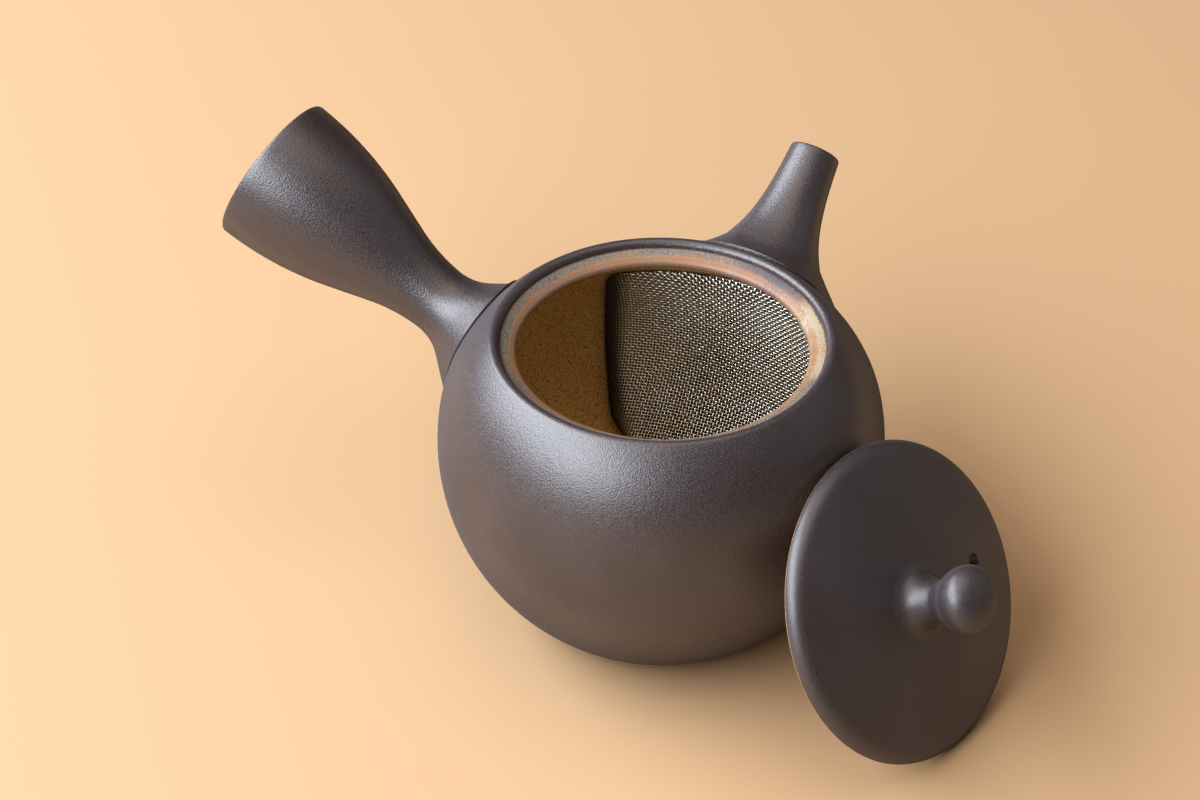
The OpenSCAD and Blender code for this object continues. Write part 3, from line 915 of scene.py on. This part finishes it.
class TEAPOT_OT_lid(bpy.types.Operator):
    """Turns the lid with its edge and locating ring, drills the vent and leans it on the pot."""

    bl_idname = "teapot.lid"
    bl_label = "Turn the lid"

    def execute(self, context):
        p = context.scene.teapot_lid
        height, rim = dome_of(p)
        half = p.edge_t / 2
        x = p.edge_r - p.under_r
        inner = p.ring_r - p.ring_t
        section = [(rim[0][0] * i / 36, height(rim[0][0] * i / 36)) for i in range(36)] + rim
        section += arc((x, p.under_r - half), p.under_r, 0, -90, 10)
        round_r = 0.5 * MM
        bottom = -half - p.ring_h
        section += [(x, -half), (p.ring_r + 0.6 * MM, -half), (p.ring_r + 0.15 * MM, -half - 0.15 * MM)]
        section += [(p.ring_r, -half - 0.6 * MM)]
        section += arc((p.ring_r - round_r, bottom + round_r), round_r, 0, -90, 22)
        section += arc((inner + round_r, bottom + round_r), round_r, -90, -180, 22)
        section += [(inner, bottom + round_r)]
        section += [(inner * i / 16, height(inner * i / 16) - p.wall) for i in range(16, -1, -1)]
        lid = turn("domed_lid", section)
        spot = Vector((-math.sin(p.vent_turn), math.cos(p.vent_turn), 0)) * p.vent_s
        drill(lid, p.vent_r, spot)
        lean(lid)
        hand_over(lid, "lid", "lid", [close_burnish(), bare_clay_inside()])
        level = math.cos(p.lean_el)
        axis = Vector((level * math.cos(p.lean_az), level * math.sin(p.lean_az), math.sin(p.lean_el)))
        paint(lid, lambda middle, normal: 1 if normal.dot(axis) < -0.3 else 0)
        return {"FINISHED"}


class TEAPOT_OT_knob(bpy.types.Operator):
    """Turns the knob with its waisted neck and lutes it to the lid."""

    bl_idname = "teapot.knob"
    bl_label = "Turn the knob"

    def execute(self, context):
        p = context.scene.teapot_lid
        height, _ = dome_of(p)
        # The neck runs out flat into the dome and turns up into a waist right under the ball
        waist = (p.neck_r, p.neck_z)
        start, top = -38, 90
        t = math.radians(start)
        ball = (p.knob_r * math.cos(t), p.knob_z + p.knob_low * math.sin(t))
        # Its underside lies in the lid's wall, and its thin edge just below the lid's face
        section = [(0, height(0) - 2 * MM), (p.foot_r, height(p.foot_r) - 0.8 * MM)]
        tall, wide = p.neck_z - height(p.neck_r), p.foot_r - p.neck_r
        for i in range(30):
            up = i / 30
            r = p.foot_r - wide * up
            section.append((r, height(r) + tall * up**6 - 0.05 * MM * (1 - up)))
        above_waist = (p.neck_r - 0.15 * MM, p.neck_z + 0.7 * MM)
        below_ball = (ball[0] - 0.85 * MM, ball[1] - 0.9 * MM)
        section += bend(waist, above_waist, below_ball, ball, 10)
        for degrees in range(start, top + 2, 2):
            t = math.radians(degrees)
            half = p.knob_top if degrees > 0 else p.knob_low
            section.append((p.knob_r * math.cos(t), p.knob_z + half * math.sin(t)))
        knob = turn("lid_knob", section)
        lean(knob)
        hand_over(knob, "lid", "knob", [close_burnish()], smooth=70)
        return {"FINISHED"}


class TEAPOT_OT_stage(bpy.types.Operator):
    """Sets up the plain pale table top, soft studio light and the camera."""

    bl_idname = "teapot.stage"
    bl_label = "Set the stage"

    def execute(self, context):
        scene = context.scene
        bpy.ops.object.select_all(action="DESELECT")
        # The table lies a hair below the foot and reaches as far as the window
        bpy.ops.mesh.primitive_circle_add(
            vertices=128, radius=1.35, fill_type="NGON", location=(0, 0, -0.05 * MM)
        )
        table = bpy.context.object
        table.name = "table_top"
        table.data.materials.append(table_top())

        def panel(name, power, size, spot, aim, tint):
            bpy.ops.object.light_add(type="AREA", location=spot)
            lamp = bpy.context.object
            lamp.name = name
            lamp.data.shape = "RECTANGLE"
            lamp.data.size, lamp.data.size_y = size
            lamp.data.energy = power
            lamp.data.color = tint
            lamp.rotation_euler = (Vector(aim) - Vector(spot)).to_track_quat("-Z", "Y").to_euler()

        panel("window_side", 58, (2.8, 0.9), (-0.6, 0.728, 0.86), (0, 0, 0.04), (0.8, 0.86, 0.94))
        panel("ceiling", 5.8, (1.2, 1.2), (0.0, 0.0, 1.3), (0, 0, 0), (1.0, 0.86, 0.74))
        panel("right_side", 1.4, (1.4, 1.0), (0.77, -0.97, 0.66), (0, 0, 0.04), (0.77, 0.87, 1.0))
        world = bpy.data.worlds.new("soft_room")
        world.use_nodes = True
        room = world.node_tree.nodes["Background"]
        room.inputs["Color"].default_value = (1.0, 0.74, 0.5, 1.0)
        # The room gives little light, and is as pale as the table where a low view shows it
        rays = add(world.node_tree, "ShaderNodeLightPath", {}).outputs["Is Camera Ray"]
        fill(world.node_tree, room, {"Strength": ranged(world.node_tree, rays, 0.0, 1.0, 0.09, 0.8)})
        scene.world = world
        scene.view_settings.view_transform = "Standard"
        scene.view_settings.look = "Medium High Contrast"
        bpy.ops.object.camera_add(
            location=(-0.481695, -0.259519, 0.479439),
            rotation=(math.radians(52.17824), math.radians(-0.07661), math.radians(-60.14053)),
        )
        camera = bpy.context.object
        camera.data.lens = 90
        camera.data.sensor_width = 36
        camera.data.sensor_fit = "HORIZONTAL"
        scene.camera = camera
        return {"FINISHED"}


class TEAPOT_PT_panel(bpy.types.Panel):
    """Lists the steps of the teapot."""

    bl_label = "Side-handled teapot"
    bl_idname = "TEAPOT_PT_panel"
    bl_space_type = "VIEW_3D"
    bl_region_type = "UI"
    bl_category = "Teapot"

    def draw(self, context):
        for step in STEPS_IN_ORDER:
            self.layout.operator(step.bl_idname)
        for group in GROUPS:
            self.layout.label(text=group.replace("teapot_", "").title())
            sizes = getattr(context.scene, group)
            for field in sizes.bl_rna.properties:
                if not field.is_readonly and field.identifier != "name":
                    self.layout.prop(sizes, field.identifier)


GROUPS = {
    "teapot_pot": PotSizes,
    "teapot_spout": SpoutSizes,
    "teapot_handle": HandleSizes,
    "teapot_strainer": StrainerSizes,
    "teapot_lid": LidSizes,
    "teapot_colours": Colours,
}
STEPS_IN_ORDER = (
    TEAPOT_OT_pot,
    TEAPOT_OT_spout,
    TEAPOT_OT_handle,
    TEAPOT_OT_strainer,
    TEAPOT_OT_lid,
    TEAPOT_OT_knob,
    TEAPOT_OT_stage,
)


def register():
    """Registers the sizes, the steps and the panel."""
    for name, group in GROUPS.items():
        bpy.utils.register_class(group)
        setattr(bpy.types.Scene, name, bpy.props.PointerProperty(type=group))
    for step in STEPS_IN_ORDER:
        bpy.utils.register_class(step)
    bpy.utils.register_class(TEAPOT_PT_panel)


def unregister():
    """Takes the panel, the steps and the sizes away again."""
    bpy.utils.unregister_class(TEAPOT_PT_panel)
    for step in reversed(STEPS_IN_ORDER):
        bpy.utils.unregister_class(step)
    for name, group in reversed(GROUPS.items()):
        delattr(bpy.types.Scene, name)
        bpy.utils.unregister_class(group)


def main():
    """Builds the teapot step by step."""
    register()
    bpy.ops.teapot.pot()
    bpy.ops.teapot.spout()
    bpy.ops.teapot.handle()
    bpy.ops.teapot.strainer()
    bpy.ops.teapot.lid()
    bpy.ops.teapot.knob()
    bpy.ops.teapot.stage()


if __name__ == "__main__":
    main()
